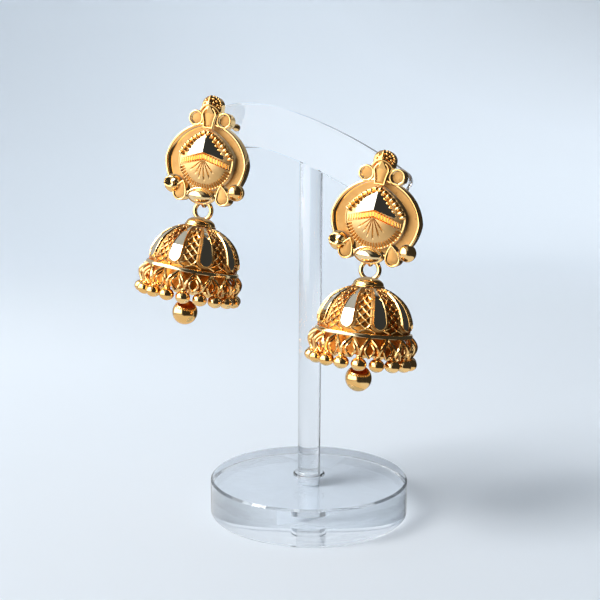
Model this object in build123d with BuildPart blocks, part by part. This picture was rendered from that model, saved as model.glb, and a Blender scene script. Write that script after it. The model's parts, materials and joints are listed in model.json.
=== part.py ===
# Pair of jhumka earrings on a clear T-bar display stand, in millimetres.
# Origin at the middle of the stand's underside, +Z up, the bar along X, the earrings facing -Y.
from build123d import *
import os
from math import sin, cos, pi, radians, sqrt

os.makedirs("parts", exist_ok=True)

gap = 0.05                   # between pieces that are soldered or glued together on the real thing

# ---- stand ----
base_radius, base_height, base_edge = 20.0, 7.2, 0.4
collar_radius, collar_height = 3.2, 0.6
post_width, post_depth, post_corner = 4.5, 4.0, 1.9
socket_depth = 6.0
bar_thickness, bar_width = 4.0, 8.5
crest_x, crest_z = -13.0, 82.0      # the bar's highest point
left_arc, right_arc = 25.0, 90.0    # outer radii of its two arcs, tangent at the shoulder
shoulder_x = -5.0
bar_left_x, bar_right_x = -24.2, 20.6
bar_corner = 2.0
pin_hole = 1.8

# ---- each earring: the middle of its stud, how far it leans and turns, its drop's lean and turn ----
# drop_swing is how far the drop hangs forwards of straight down
stud_y = -7.0
earrings = {
    "left": dict(x=-19.0, z=70.6, lean=7.8, toe=-1.0, drop_lean=9.4, drop_swing=5.0, panel_turn=-1.7),
    "right": dict(x=14.8, z=59.9, lean=8.6, toe=-5.0, drop_lean=4.2, drop_swing=5.0, panel_turn=-9.0),
}

# ---- stud, in its own frame: x to the right, y up, z out of the front, middle of the tray at 0 ----
tray_radius, tray_depth, tray_floor, tray_wall = 8.65, 2.2, 0.6, 0.55
neck_half, neck_y, nape_half, nape_y = 1.3, 7.75, 1.4, 7.05    # a short tab above the shoulders
notch_y = -6.85
tray_shoulder, tray_hip = (0.715, 0.53), (0.906, -0.423)   # points on its arcs, as shares of the radius
scroll_x, scroll_y, scroll_radius, scroll_wall = 2.95, 7.8, 1.55, 0.5
infill_z = 0.3                      # floor of the scrolls
medallion_radius, medallion_edge, medallion_height = 5.85, 1.1, 1.3
dome_inset, dome_edge = 0.3, 0.5
roof_left, roof_right, roof_ridge = -4.9, 5.2, 0.3    # x of the polished facets' feet and ridge
roof_top = 2.4
chevron_left, chevron_mid, chevron_right = 0.2, 0.6, -2.6   # y of the band below them
petal_half, petal_low, petal_high = 1.55, 6.0, 10.2
petal_depth, petal_floor, petal_wire, petal_peak = 0.6, 0.25, 0.35, 1.6   # its point is thicker
petal_foot, petal_knee = 0.68, 0.62     # share of the width at the foot, share of the height at the widest
petal_waist, petal_head = (0.76, 0.45), (0.72, 0.62)      # points on its two side arcs, as shares
finial_half, finial_low, finial_high = 2.1, 9.4, 12.3
finial_foot, finial_shoulder, finial_head = 0.8, 0.35, (0.72, 0.7)   # shares of its width and height
finial_steps = (0.0, -1.1), (0.1, 0.9), (0.9, 2.0)    # inset and z of each section
cabochon_y, cabochon_half = -6.95, (3.0, 1.65)
cabochon_steps = (1.0, 0.0), (0.88, 0.95), (0.4, 1.9)  # share of the width, and height
bezel_wall, bezel_height = 0.35, 0.45
corner_x, corner_y, corner_z, corner_radius, cup_hollow = 7.0, -5.4, 0.5, 1.65, 0.75
loop_x, loop_y, loop_turn = 4.6, -6.45, 14.0
loop_half, loop_length, loop_wire = 1.5, 4.2, 0.38
loop_top, loop_floor = 1.45, 1.15   # z of the hanging loops' wire and infill, in front of the tray's rim
loop_swell = 0.6, 1.05              # point on its side arc, in half widths
eye_radius, eye_wire, eye_gap = 1.05, 0.34, 0.06
post_y, post_wire, post_length, post_head = 7.3, 0.45, 12.5, 0.8
pivot_y, pivot_z = -8.15, -0.9      # the hinge of the drop: the middle of its ring's top wire

# ---- drop, in its own frame: x to the right, -y out of the front, z up, the hinge at 0 ----
ring_radius, ring_wire = 1.75, 0.42
cap_radius, cap_top, cap_base, cap_lip, cap_step = 3.1, -3.0, -4.95, 0.4, 0.2
dome_radius, dome_foot, dome_top, dome_wall = 8.8, -12.75, -5.0, 0.8
dome_top_radius, dome_knee = 3.0, 0.7   # and the share of its height where its arc is set
rim_radius, rim_foot = 9.25, -13.65
panel_count, panel_rise, panel_root = 9, 0.4, 0.3
panel_low, panel_belly, panel_high = -12.15, -10.8, -5.3   # z of a panel's foot, widest place and point
panel_half, panel_swell = 1.3, (0.75, 0.36)
fringe_count, fringe_wire = 18, 0.25
fringe_top, fringe_bulge = (8.75, -13.8), (9.95, -15.9)    # radius and z of the wires' middle line
fringe_half, fringe_widest, fringe_sink = 1.15, -15.9, 0.7
fringe_tips = 0.6, 0.3              # how thick its loops' tips are, as shares of the wire
bead_circle, bead_z, bead_radius = 9.25, -18.4, 1.3
ball_radius, ball_z, stem_wire = 2.5, -22.2, 0.3


def stud_plane(row):
    """The stud's own frame: its middle, leaned sideways and turned about the vertical."""
    lean, toe = radians(row["lean"]), radians(row["toe"])
    front = Vector(sin(toe), -cos(toe), 0)
    across = Vector(cos(toe) * cos(lean), sin(toe) * cos(lean), -sin(lean))
    return Plane(origin=(row["x"], stud_y, row["z"]), x_dir=across, z_dir=front)


def drop_plane(row):
    """The drop's own frame: it hangs from the stud's hinge, leaned sideways and swung forwards."""
    lean, swing = radians(row["drop_lean"]), radians(row["drop_swing"])
    hinge = stud_plane(row).from_local_coords(Vector(0, pivot_y, pivot_z))
    upward = Vector(sin(lean) * cos(swing), sin(swing), cos(lean) * cos(swing))
    return Plane(origin=hinge, x_dir=(cos(lean), 0, -sin(lean)), z_dir=upward)


def write(piece, name):
    piece.label = name
    export_step(piece, f"parts/{name}.step")


def cap_mid(radius, low, high):
    """The point half way along the arc of a spherical cap that ends on the axis."""
    rise = high - low
    ball = (radius**2 + rise**2) / (2 * rise)
    reach = radius / 2
    return reach, high - ball + sqrt(ball**2 - reach**2)


# ---- the stand ----
def post_outline(clear):
    with BuildSketch() as outline:
        RectangleRounded(post_width + 2 * clear, post_depth + 2 * clear, post_corner + clear)
    return outline.sketch


def make_base():
    socket = post_outline(gap)
    with BuildPart() as base:
        with BuildSketch():
            Circle(base_radius)
        extrude(amount=base_height)
        chamfer(base.edges().filter_by(GeomType.CIRCLE), base_edge)
        with BuildSketch(Plane.XY.offset(base_height)):
            add(socket)
        extrude(amount=-socket_depth, mode=Mode.SUBTRACT)
    write(base.part, "stand_base")


def make_collar():
    socket = post_outline(gap)
    with BuildPart() as collar:
        with BuildSketch(Plane.XY.offset(base_height + gap)):
            Circle(collar_radius)
        extrude(amount=collar_height)
        chamfer(collar.edges().filter_by(GeomType.CIRCLE).sort_by(Axis.Z)[-1], collar_height / 2)
        with BuildSketch(Plane.XY.offset(base_height)):
            add(socket)
        extrude(amount=collar_height + 1, mode=Mode.SUBTRACT)
    write(collar.part, "post_collar")


def bar_point(x, inset):
    """The point of the bar's arched outer edge above x, moved that far square into the bar."""
    turn = (shoulder_x - crest_x) / left_arc
    if x <= shoulder_x:
        centre_x, centre_z, radius = crest_x, crest_z - left_arc, left_arc
    else:
        centre_x = crest_x - (right_arc - left_arc) * turn
        centre_z = crest_z - left_arc - (right_arc - left_arc) * sqrt(1 - turn**2)
        radius = right_arc
    slope = (x - centre_x) / radius
    return centre_x + (radius - inset) * slope, centre_z + (radius - inset) * sqrt(1 - slope**2)


def make_t_bar():
    ends = bar_left_x, (bar_left_x + shoulder_x) / 2, shoulder_x, (shoulder_x + bar_right_x) / 2, bar_right_x
    outer = [bar_point(x, 0) for x in ends]
    inner = [bar_point(x, bar_width) for x in ends]
    foot = Plane.XY.offset(base_height - socket_depth + gap)
    post_height = bar_point(0, bar_width / 2)[1] - foot.origin.Z
    post = post_outline(0)
    with BuildPart() as bar:
        with BuildSketch(Plane.XZ):
            with BuildLine():
                ThreePointArc(outer[0], outer[1], outer[2])
                ThreePointArc(outer[2], outer[3], outer[4])
                Line(outer[4], inner[4])
                ThreePointArc(inner[4], inner[3], inner[2])
                ThreePointArc(inner[2], inner[1], inner[0])
                Line(inner[0], outer[0])
            make_face()
        extrude(amount=bar_thickness / 2, both=True)
        corners = bar.edges().filter_by(Axis.Y).sort_by(Axis.X)
        fillet(corners[:2] + corners[-2:], bar_corner)
        with BuildSketch(foot):
            add(post)
        extrude(amount=post_height)
        for row in earrings.values():
            with BuildSketch(stud_plane(row)):
                with Locations((0, post_y)):
                    Circle(pin_hole / 2)
            extrude(amount=-2 * post_length, mode=Mode.SUBTRACT)
    write(bar.part, "t_bar")


# ---- the stud ----
def tray_outline(inset):
    """The tray's onion outline: sloping shoulders under a short neck, round hips and a straight foot."""
    reach = tray_radius - inset
    neck, nape = (neck_half - inset, neck_y - inset), (nape_half - inset, nape_y - inset)
    foot = sqrt(reach**2 - (notch_y + inset) ** 2), notch_y + inset
    with BuildSketch() as outline:
        with BuildLine() as half:
            Polyline((0, neck[1]), neck, nape)
            ThreePointArc(nape, Vector(*tray_shoulder) * reach, (reach, 0))
            ThreePointArc((reach, 0), Vector(*tray_hip) * reach, foot)
            Line(foot, (0, foot[1]))
            mirror(about=Plane.YZ)
        make_face()
    return outline.sketch


def loop_outline(inset):
    """A teardrop with its point up: a round foot and two swelling sides."""
    half = loop_half - inset
    top, low = loop_length / 2 - 2 * inset, loop_half - loop_length / 2
    with BuildSketch() as outline:
        with BuildLine():
            ThreePointArc((0, low - half), (half * sin(pi / 4), low - half * sin(pi / 4)), (half, low))
            ThreePointArc((half, low), (half * loop_swell[0], low + half * loop_swell[1]), (0, top))
            mirror(about=Plane.YZ)
        make_face()
    return outline.sketch


def make_stud_tray():
    whole, hollow = tray_outline(0), tray_outline(tray_wall)
    loop, loop_inside = loop_outline(0), loop_outline(loop_wire)
    back = Plane.XY.offset(-tray_depth / 2)
    scrolls = [(-scroll_x, scroll_y), (scroll_x, scroll_y)]
    loops = [Location((side * loop_x, loop_y, 0), (0, 0, side * loop_turn)) for side in (-1, 1)]
    corners = [(side * corner_x, corner_y, corner_z) for side in (-1, 1)]
    # the ring's top wire lies low in the eye, a little clear of it
    eye_y = pivot_y - ring_wire - eye_gap + eye_radius - eye_wire
    with BuildPart() as tray:
        with BuildSketch(back):
            add(whole)
            with Locations(*scrolls):
                Circle(scroll_radius)
        extrude(amount=tray_depth)
        with BuildSketch(back.offset(tray_floor)):
            add(hollow)
        extrude(amount=tray_depth, mode=Mode.SUBTRACT)
        with BuildSketch(Plane.XY.offset(infill_z)):
            with Locations(*scrolls):
                Circle(scroll_radius - scroll_wall)
        extrude(amount=tray_depth, mode=Mode.SUBTRACT)
        with BuildSketch(back):
            with Locations(*loops):
                add(loop)
        extrude(amount=loop_top + tray_depth / 2)
        with BuildSketch(Plane.XY.offset(loop_floor)):
            with Locations(*loops):
                add(loop_inside)
        extrude(amount=tray_depth, mode=Mode.SUBTRACT)
        with Locations(*corners):
            Sphere(corner_radius + gap, mode=Mode.SUBTRACT)
        with BuildSketch(Plane.XZ.offset(-eye_y)):
            with Locations((0, pivot_z + eye_radius)):
                Circle(eye_wire)
        revolve(axis=Axis((0, eye_y, pivot_z), (1, 0, 0)))
    return tray.part


def pointed_arch(inset):
    """An upright petal that narrows to its foot, with a pointed head."""
    half, low, high = petal_half - inset, petal_low + inset, petal_high - petal_peak * inset
    knee = low + (high - low) * petal_knee
    waist = half * petal_waist[0], low + (knee - low) * petal_waist[1]
    head = half * petal_head[0], knee + (high - knee) * petal_head[1]
    with BuildSketch() as outline:
        with BuildLine():
            Line((0, low), (half * petal_foot, low))
            ThreePointArc((half * petal_foot, low), waist, (half, knee))
            ThreePointArc((half, knee), head, (0, high))
            mirror(about=Plane.YZ)
        make_face()
    return outline.sketch


def finial_outline(inset):
    """The crest's rounded head on a flat foot."""
    half, low, high = finial_half - inset, finial_low + inset * 0.5, finial_high - inset
    shoulder = low + (high - low) * finial_shoulder
    head = half * finial_head[0], shoulder + (high - shoulder) * finial_head[1]
    with BuildSketch() as outline:
        with BuildLine():
            Polyline((0, low), (half * finial_foot, low), (half, shoulder))
            ThreePointArc((half, shoulder), head, (0, high))
            mirror(about=Plane.YZ)
        make_face()
    return outline.sketch


def make_crest():
    front = Plane.XY.offset(tray_depth / 2 + gap)
    petal, petal_inside = pointed_arch(0), pointed_arch(petal_wire)
    finial = [(finial_outline(inset), level) for inset, level in finial_steps]
    clear = [Location((side * scroll_x, scroll_y, 0)) for side in (-1, 1)]
    with BuildPart() as crest:
        with BuildSketch(front):
            add(petal)
        extrude(amount=petal_depth)
        with BuildSketch(front.offset(petal_floor)):
            add(petal_inside)
        extrude(amount=petal_depth, mode=Mode.SUBTRACT)
        for outline, level in finial:
            with BuildSketch(Plane.XY.offset(level)):
                add(outline)
        loft(ruled=True)
        with Locations(*clear):
            Cylinder(scroll_radius + gap, 2 * (tray_depth / 2 + gap), mode=Mode.SUBTRACT)
    return crest.part


def above_chevron(inset):
    """The medallion's upper field: what lies above the bent band, inside its edge."""
    wide = medallion_radius + 1
    with BuildSketch() as field:
        with BuildLine():
            Polyline(
                (-wide, chevron_left), (roof_ridge, chevron_mid), (wide, chevron_right),
                (wide, wide), (-wide, wide), close=True,
            )
        make_face()
        Circle(medallion_radius - dome_inset - inset, mode=Mode.INTERSECT)
    return field.sketch


def make_medallion():
    floor = Plane.XY.offset(tray_floor - tray_depth / 2 + gap)
    upper = above_chevron(dome_edge)
    reach, crown = medallion_radius - dome_inset, medallion_edge + medallion_height
    low = floor.origin.Z
    with BuildPart() as roof:
        with BuildSketch(Plane.XZ.offset(1)):
            with BuildLine():
                Polyline((roof_left, low), (roof_right, low), (roof_ridge, roof_top), close=True)
            make_face()
        extrude(amount=-2 * medallion_radius)
        with BuildSketch(floor):
            add(upper)
        extrude(amount=2 * crown, mode=Mode.INTERSECT)
    with BuildPart() as medallion:
        with BuildSketch(floor):
            Circle(medallion_radius)
        extrude(amount=medallion_edge)
        with BuildSketch(Plane.XZ):
            with BuildLine():
                Polyline((0, low), (reach, low), (reach, low + medallion_edge))
                ThreePointArc(
                    (reach, low + medallion_edge),
                    cap_mid(reach, low + medallion_edge, low + crown),
                    (0, low + crown),
                )
                Line((0, low + crown), (0, low))
            make_face()
        revolve(axis=Axis.Z)
        with BuildSketch(floor.offset(medallion_edge)):
            add(upper)
        extrude(amount=crown, mode=Mode.SUBTRACT)
        add(roof.part)
    return medallion.part


def make_cabochon():
    seat = Plane.XY.offset(tray_depth / 2 + gap)
    half_x, half_y = cabochon_half
    with BuildPart() as cabochon:
        with BuildSketch(seat):
            with Locations((0, cabochon_y)):
                Ellipse(half_x, half_y)
        extrude(amount=bezel_height)
        for share, height in cabochon_steps:
            with BuildSketch(seat.offset(height)):
                with Locations((0, cabochon_y)):
                    Ellipse((half_x - bezel_wall) * share, (half_y - bezel_wall) * share)
        loft()
    return cabochon.part


def make_corner_cup():
    with BuildPart() as cup:
        with Locations((-corner_x, corner_y, corner_z)):
            Sphere(corner_radius)
        with Locations((-corner_x, corner_y, corner_z + corner_radius)):
            Sphere(corner_radius * cup_hollow, mode=Mode.SUBTRACT)
    return cup.part


def make_corner_ball():
    with BuildPart() as ball:
        with Locations((corner_x, corner_y, corner_z)):
            Sphere(corner_radius)
    return ball.part


def make_ear_post():
    with BuildPart() as ear_post:
        with BuildSketch(Plane.XY.offset(-tray_depth / 2 - gap)):
            with Locations((0, post_y)):
                Circle(post_wire)
        extrude(amount=-post_length)
        with Locations((0, post_y, -tray_depth / 2 - gap - post_length)):
            Sphere(post_head)
    return ear_post.part


# ---- the drop ----
def make_bell_cap():
    with BuildPart() as cap:
        with BuildSketch(Plane.XZ):
            with BuildLine():
                Polyline(
                    (0, cap_base), (cap_radius, cap_base), (cap_radius, cap_base + cap_lip),
                    (cap_radius - cap_step, cap_base + cap_lip),
                )
                ThreePointArc(
                    (cap_radius - cap_step, cap_base + cap_lip),
                    cap_mid(cap_radius - cap_step, cap_base + cap_lip, cap_top),
                    (0, cap_top),
                )
                Line((0, cap_top), (0, cap_base))
            make_face()
        revolve(axis=Axis.Z)
        with BuildSketch(Plane.XY.offset(-ring_radius)):
            with Locations((ring_radius, 0)):
                Circle(ring_wire)
        revolve(axis=Axis((0, 0, -ring_radius), (0, 1, 0)))
    return cap.part


def dome_arc(inset):
    """Centre and radius of the dome's wall line: upright at its foot, through the edge of its top."""
    rise, inward = dome_top - dome_foot, dome_radius - dome_top_radius
    radius = (rise**2 + inward**2) / (2 * inward)
    return dome_radius - radius, radius - inset


def dome_point(z, inset):
    """The dome's radius at a height, that far inside its face."""
    centre, radius = dome_arc(inset)
    return centre + sqrt(radius**2 - (z - dome_foot) ** 2), z


def dome_band(outset, inset):
    """A slice of the dome's wall between the panels' foot and point, for cutting the panels from."""
    middle = (panel_low + panel_high) / 2
    with BuildSketch() as band:
        with BuildLine():
            ThreePointArc(*[dome_point(z, -outset) for z in (panel_low, middle, panel_high)])
            Line(dome_point(panel_high, -outset), dome_point(panel_high, inset))
            ThreePointArc(*[dome_point(z, inset) for z in (panel_high, middle, panel_low)])
            Line(dome_point(panel_low, inset), dome_point(panel_low, -outset))
        make_face()
    return band.sketch


def make_panel():
    """One polished panel, raised on the dome: a lancet, round at its foot, pointed at its top."""
    band = dome_band(panel_rise, panel_root)
    start = Plane.XZ.rotated((0, 0, -15))
    with BuildPart() as field:
        with BuildSketch(start):
            add(band)
        revolve(axis=Axis.Z, revolution_arc=30)
        with BuildSketch(Plane.YZ):
            with BuildLine():
                ThreePointArc(
                    (0, panel_low),
                    (panel_half * panel_swell[0], panel_low + (panel_belly - panel_low) * panel_swell[1]),
                    (panel_half, panel_belly),
                )
                Line((panel_half, panel_belly), (0, panel_high))
                mirror(about=Plane.YZ)
            make_face()
        extrude(amount=rim_radius + 1, mode=Mode.INTERSECT)
    return field.part


def make_bell():
    panel = make_panel()
    centre, radius = dome_arc(0)
    mouth = dome_radius - dome_wall
    under = dome_top - dome_wall
    knee_z = dome_foot + (dome_top - dome_foot) * dome_knee
    inner_knee_z = dome_foot + (under - dome_foot) * dome_knee
    inner_top = centre + sqrt((radius - dome_wall) ** 2 - (under - dome_foot) ** 2)
    with BuildPart() as bell:
        with BuildSketch(Plane.XZ):
            with BuildLine():
                Polyline(
                    (mouth, dome_foot), (mouth, rim_foot), (rim_radius, rim_foot),
                    (rim_radius, dome_foot), (dome_radius, dome_foot),
                )
                ThreePointArc(
                    (dome_radius, dome_foot), dome_point(knee_z, 0), (dome_top_radius, dome_top)
                )
                Polyline((dome_top_radius, dome_top), (0, dome_top), (0, under), (inner_top, under))
                ThreePointArc(
                    (inner_top, under), dome_point(inner_knee_z, dome_wall), (mouth, dome_foot)
                )
            make_face()
        revolve(axis=Axis.Z)
        with PolarLocations(0, panel_count):
            add(panel)
    return bell.part


def make_bead_drop():
    """One drop of the fringe: an almond loop of wire, bulging outwards, on a round bead."""
    top_r, top_z = fringe_top
    mid_r, mid_z = fringe_bulge
    foot = bead_circle, bead_z + bead_radius * fringe_sink
    lines = []
    for side in (fringe_wire, -fringe_wire):
        lines.append([(top_r + side, top_z), (mid_r + side, mid_z), (foot[0] + side, foot[1])])
    outer, inner = lines
    with BuildPart() as drop:
        with BuildSketch(Plane.XZ.rotated((0, 0, -15))):
            with BuildLine():
                ThreePointArc(*outer)
                Line(outer[2], inner[2])
                ThreePointArc(*inner[::-1])
                Line(inner[0], outer[0])
            make_face()
        revolve(axis=Axis.Z, revolution_arc=30)
        with BuildSketch(Plane.YZ):
            for inset, mode in ((0, Mode.ADD), (2 * fringe_wire, Mode.SUBTRACT)):
                half = fringe_half + fringe_wire - inset
                high, low = top_z - inset * fringe_tips[0], foot[1] + inset * fringe_tips[1]
                with BuildLine():
                    ThreePointArc((0, high), (half, fringe_widest), (0, low))
                    ThreePointArc((0, low), (-half, fringe_widest), (0, high))
                make_face(mode=mode)
        extrude(amount=bead_circle * 2, mode=Mode.INTERSECT)
        with Locations((bead_circle, 0, bead_z)):
            Sphere(bead_radius)
    return drop.part


def make_bead_fringe():
    drop = make_bead_drop()
    with BuildPart() as fringe:
        with PolarLocations(0, fringe_count):
            add(drop)
    return fringe.part


def make_centre_ball():
    with BuildPart() as ball:
        with BuildSketch(Plane.XY.offset(ball_z)):
            Circle(stem_wire)
        extrude(amount=dome_top - dome_wall - gap - ball_z)
        with Locations((0, 0, ball_z)):
            Sphere(ball_radius)
    return ball.part


make_base()
make_collar()
make_t_bar()
stud_pieces = {
    "stud_tray": make_stud_tray(),
    "crest": make_crest(),
    "medallion": make_medallion(),
    "cabochon": make_cabochon(),
    "corner_cup": make_corner_cup(),
    "corner_ball": make_corner_ball(),
    "ear_post": make_ear_post(),
}
drop_pieces = {
    "bell_cap": make_bell_cap(),
    "bell": make_bell(),
    "bead_fringe": make_bead_fringe(),
    "centre_ball": make_centre_ball(),
}
for side, row in earrings.items():
    for name, piece in stud_pieces.items():
        write(stud_plane(row).location * piece, f"{side}_{name}")
    turn = Rotation(0, 0, row["panel_turn"] - 90)
    for name, piece in drop_pieces.items():
        turned = piece if name == "bell_cap" else turn * piece
        write(drop_plane(row).location * turned, f"{side}_{name}")
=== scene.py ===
import json
import bpy
import bmesh
import numpy as np
from math import cos, pi, radians, sin, sqrt
from mathutils import Matrix, Vector


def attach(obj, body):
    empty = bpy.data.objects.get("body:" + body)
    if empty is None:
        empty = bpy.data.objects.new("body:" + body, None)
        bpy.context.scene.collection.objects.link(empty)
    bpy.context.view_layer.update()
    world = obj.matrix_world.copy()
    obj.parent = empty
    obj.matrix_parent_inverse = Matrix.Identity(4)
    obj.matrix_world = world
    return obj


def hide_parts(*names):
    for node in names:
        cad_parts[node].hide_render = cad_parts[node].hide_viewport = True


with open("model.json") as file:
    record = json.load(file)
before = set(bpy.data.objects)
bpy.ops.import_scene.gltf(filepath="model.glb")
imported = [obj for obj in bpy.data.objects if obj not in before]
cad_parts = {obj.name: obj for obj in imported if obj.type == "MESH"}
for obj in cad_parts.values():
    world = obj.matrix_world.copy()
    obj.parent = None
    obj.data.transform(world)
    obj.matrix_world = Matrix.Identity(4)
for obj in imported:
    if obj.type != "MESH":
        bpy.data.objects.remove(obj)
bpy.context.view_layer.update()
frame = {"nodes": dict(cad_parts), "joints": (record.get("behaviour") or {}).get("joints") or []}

# A pair of gold jhumka earrings on a clear T-bar stand.
# Sizes are in millimetres in each earring's own frames and become metres when a mesh is placed.
mm = 0.001
scene = bpy.context.scene
bodies = {"left": "left_drop", "right": "right_drop"}
swings = {joint["child"]: joint for joint in frame["joints"]}

# how each stud leans sideways and turns about the vertical, in degrees, how far forwards its drop hangs,
# and where the drop's first panel faces
earringTurns = {
    "left": dict(lean=7.8, toe=-1.0, swing=5.0, panels=-1.7),
    "right": dict(lean=8.6, toe=-5.0, swing=5.0, panels=-9.0),
}
hingeInStud = np.array([0.0, -8.15, -0.9])


def dropPlace(side):
    # columns x right, y back, z up the drop, and the hinge: the record's joint, and the swing about it
    joint, swing = swings[bodies[side]], radians(earringTurns[side]["swing"])
    across = -np.array(joint["axis"], float)
    across /= np.linalg.norm(across)
    back = np.array([0.0, cos(swing), 0.0]) - np.cross(across, [0, 1, 0]) * sin(swing)
    return np.stack([across, back, np.cross(across, back)], 1), np.array(joint["pos_m"]) / mm


def studPlace(side):
    # columns x across, y up, z out of the front, and the middle of the tray, found from the hinge
    lean, toe = radians(earringTurns[side]["lean"]), radians(earringTurns[side]["toe"])
    across = np.array([cos(toe) * cos(lean), sin(toe) * cos(lean), -sin(lean)])
    front = np.array([sin(toe), -cos(toe), 0.0])
    axes = np.stack([across, np.cross(front, across), front], 1)
    return axes, dropPlace(side)[1] - axes @ hingeInStud


def unit(vectors):
    return vectors / np.maximum(np.linalg.norm(vectors, axis=-1, keepdims=True), 1e-9)


def skin(points, loopRows=False, loopCols=False, flip=False):
    # one grid of points or many equal ones, joined in cells of four;
    # a cell faces the way of its columns crossed with its rows
    grids = np.asarray(points, float)
    rows, cols = grids.shape[-3:-1]
    row = np.arange(rows if loopRows else rows - 1)[:, None]
    col = np.arange(cols if loopCols else cols - 1)[None, :]
    nextRow, nextCol = (row + 1) % rows, (col + 1) % cols
    corners = row * cols + col, row * cols + nextCol, nextRow * cols + nextCol, nextRow * cols + col
    cells = np.stack(np.broadcast_arrays(*corners), -1).reshape(-1, 4)
    if flip:
        cells = cells[:, ::-1]
    grids = grids.reshape(-1, rows * cols, 3)
    faces = cells + (np.arange(len(grids)) * rows * cols)[:, None, None]
    return grids.reshape(-1, 3), faces.reshape(-1, 4)


def makePiece(name, skins, place, finish, body, nodes, crease=38):
    # joins the skins, carries them to their place, and welds seams and poles shut
    starts = np.cumsum([0] + [len(points) for points, _ in skins])
    points = np.concatenate([points for points, _ in skins])
    faces = np.concatenate([cells + start for (_, cells), start in zip(skins, starts)])
    axes, origin = place
    points = (points @ axes.T + origin) * mm
    mesh = bpy.data.meshes.new(name)
    mesh.from_pydata(points.tolist(), [], faces.tolist())
    welded = bmesh.new()
    welded.from_mesh(mesh)
    bmesh.ops.remove_doubles(welded, verts=welded.verts, dist=2e-6)
    welded.to_mesh(mesh)
    welded.free()
    mesh.shade_smooth()
    mesh.set_sharp_from_angle(angle=radians(crease))
    mesh.materials.append(finish)
    piece = bpy.data.objects.new(name, mesh)
    scene.collection.objects.link(piece)
    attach(piece, body)
    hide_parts(*nodes)
    return piece


def balls(centres, radius, rings=10, sides=16, axes=None):
    # globes: centre plus radius, or one for each axis, times a direction by latitude and longitude,
    # turned into their axes if given
    rise = np.linspace(-pi / 2, pi / 2, rings + 1)[:, None]
    turn = np.linspace(0, 2 * pi, sides, endpoint=False)[None, :]
    globe = np.cos(rise) * np.cos(turn), np.cos(rise) * np.sin(turn), np.sin(rise)
    globe = np.stack(np.broadcast_arrays(*globe), -1) * np.asarray(radius, float)
    centres = np.atleast_2d(np.asarray(centres, float))
    if axes is not None:
        globe = np.einsum("rsk,nkj->nrsj", globe, axes)
    return skin(centres[:, None, None, :] + globe, loopCols=True)


def tube(paths, radius, toward, sides=8, closed=False):
    # round wire: each point of a path plus its radius times a ring that stands square to the path
    paths = np.asarray(paths, float)
    along = np.roll(paths, -1, -2) - np.roll(paths, 1, -2) if closed else np.gradient(paths, axis=-2)
    along = unit(along)
    side = unit(np.cross(along, np.broadcast_to(toward, along.shape)))
    lift = np.cross(side, along)
    thick = np.broadcast_to(np.asarray(radius, float), paths.shape[:-1])
    if not closed:      # the ends close on a pole
        ends = [(0, 0)] * (paths.ndim - 2) + [(1, 1)]
        paths, side, lift = (np.pad(part, ends + [(0, 0)], mode="edge") for part in (paths, side, lift))
        thick = np.pad(thick, ends)
    turn = np.linspace(0, 2 * pi, sides, endpoint=False)[:, None]
    ring = np.cos(turn) * lift[..., None, :] + np.sin(turn) * side[..., None, :]
    return skin(paths[..., None, :] + thick[..., None, None] * ring, loopRows=closed, loopCols=True)


def revolve(profile, sides=96, loop=False):
    # profile of radius and height turned about the upright axis; it runs up the outside
    profile = np.asarray(profile, float)
    turn = np.linspace(0, 2 * pi, sides, endpoint=False)
    grid = np.stack([
        profile[:, :1] * np.cos(turn), profile[:, :1] * np.sin(turn),
        np.broadcast_to(profile[:, 1:], (len(profile), sides))], -1)
    return skin(grid, loopRows=loop, loopCols=True)


def arcPoints(start, middle, end, count):
    # the circle through three points, from the first to the last
    (ax, ay), (bx, by), (cx, cy) = start, middle, end
    d = 2 * (ax * (by - cy) + bx * (cy - ay) + cx * (ay - by))
    ux = ((ax**2 + ay**2) * (by - cy) + (bx**2 + by**2) * (cy - ay) + (cx**2 + cy**2) * (ay - by)) / d
    uy = ((ax**2 + ay**2) * (cx - bx) + (bx**2 + by**2) * (ax - cx) + (cx**2 + cy**2) * (bx - ax)) / d
    angles = np.unwrap(np.arctan2(np.array([ay, by, cy]) - uy, np.array([ax, bx, cx]) - ux))
    turn = np.linspace(angles[0], angles[2], count)
    radius = sqrt((ax - ux) ** 2 + (ay - uy) ** 2)
    return np.stack([ux + radius * np.cos(turn), uy + radius * np.sin(turn)], 1)


def evenOutline(half, count):
    # a half outline, from its top on the middle line down the right side to its foot on the middle line,
    # mirrored, spaced evenly and turned anticlockwise
    half = np.asarray(half, float)
    whole = np.concatenate([half, (half * [-1, 1])[::-1]])[::-1]
    steps = np.r_[0, np.cumsum(np.linalg.norm(np.diff(whole, axis=0), axis=1))]
    at = np.linspace(0, steps[-1], count, endpoint=False)
    return np.stack([np.interp(at, steps, whole[:, 0]), np.interp(at, steps, whole[:, 1])], 1)


def bordered(outline, profile, centre=(0.0, 0.0)):
    # a profile carried along a closed outline: every row is the outline moved square to itself by its outset,
    # then drawn in towards the centre by its share, at its height
    along = unit(np.roll(outline, -1, 0) - np.roll(outline, 1, 0))
    outward = np.stack([along[:, 1], -along[:, 0]], 1)
    rows = np.asarray(profile, float)
    outset = outline[None] + rows[:, 0, None, None] * outward[None]
    share = rows[:, 2, None, None]
    flat = outset * (1 - share) + np.asarray(centre, float) * share
    heights = np.broadcast_to(rows[:, 1, None, None], flat.shape[:2] + (1,))
    return np.concatenate([flat, heights], -1)


def moved(grid, shift, turn=0.0):
    # the same grid turned in the stud's plane, in degrees, and shifted across and up
    c, s = cos(radians(turn)), sin(radians(turn))
    spun = grid.copy()
    spun[..., 0] = grid[..., 0] * c - grid[..., 1] * s + shift[0]
    spun[..., 1] = grid[..., 0] * s + grid[..., 1] * c + shift[1]
    return spun


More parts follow.
